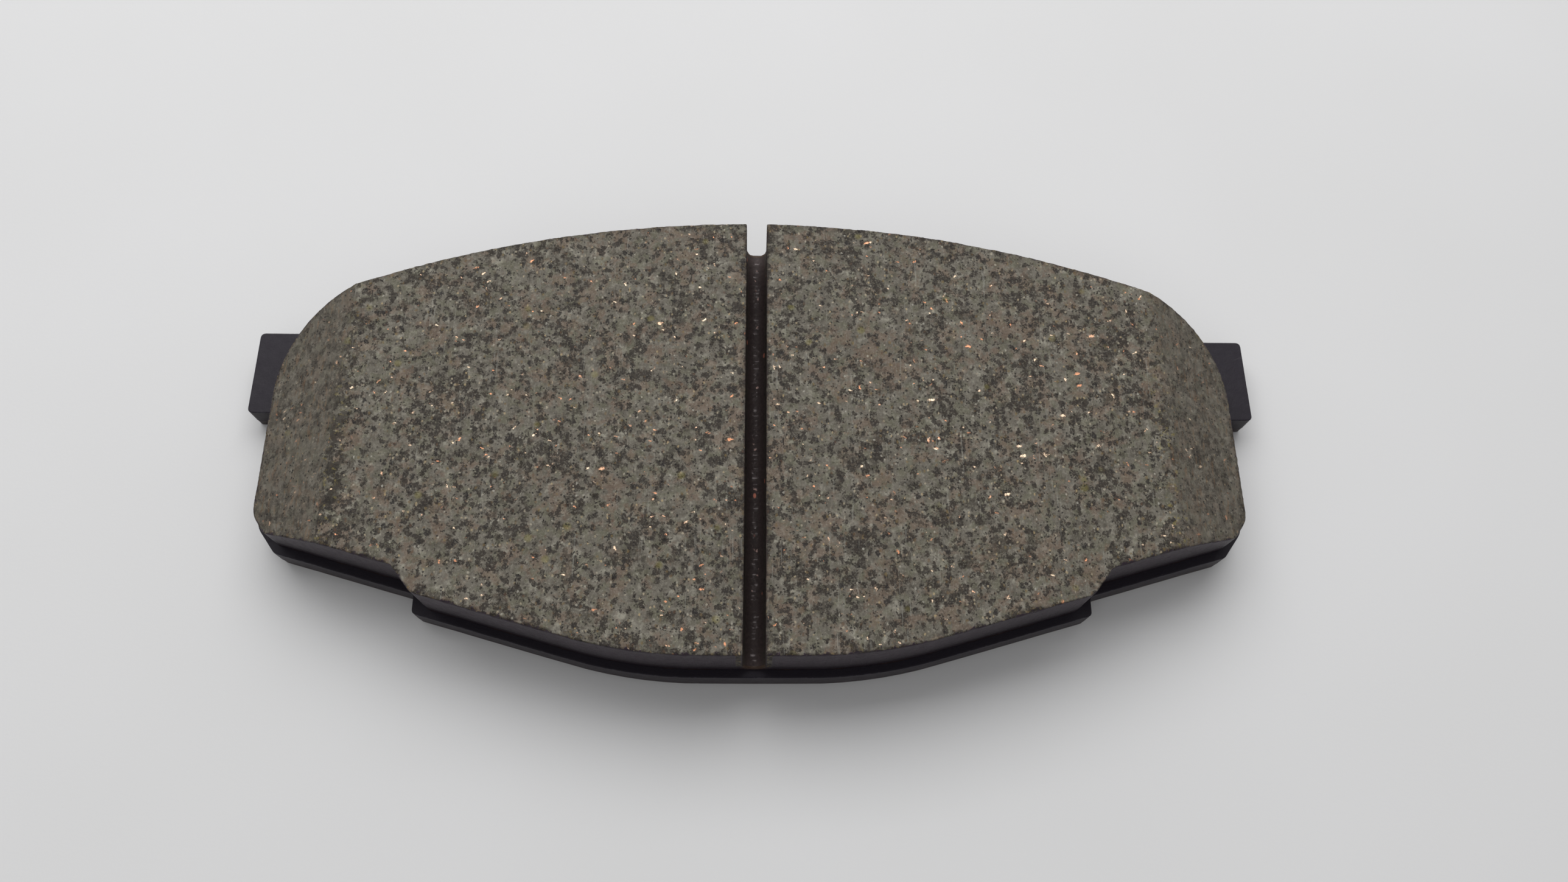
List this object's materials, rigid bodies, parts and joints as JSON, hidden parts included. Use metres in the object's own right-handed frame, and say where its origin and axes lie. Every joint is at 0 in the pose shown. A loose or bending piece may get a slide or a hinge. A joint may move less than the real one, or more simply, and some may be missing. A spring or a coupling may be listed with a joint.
{
  "type": "brake pad",
  "caption": "Disc brake pad with an eared steel backing plate and a bonded friction lining, split by a central slot and chamfered at both ends.",
  "frame": {"origin": "centre of the overall box on the back face of the backing plate", "axes": "+X from ear to ear, +Y towards the outer arc (away from the wheel's axle), +Z from the plate's back towards the rubbing face"},
  "size_m": [0.154, 0.0684, 0.015],
  "materials": {
    "coated_steel": "satin",
    "adhesive": "gloss",
    "underlayer": "matte",
    "friction_lining": "matte"
  },
  "bodies": {
    "root": {"backing_plate": "coated_steel", "adhesive_film": "adhesive", "underlayer": "underlayer", "friction_block_left": "friction_lining", "friction_block_right": "friction_lining"}
  },
  "joints": []
}
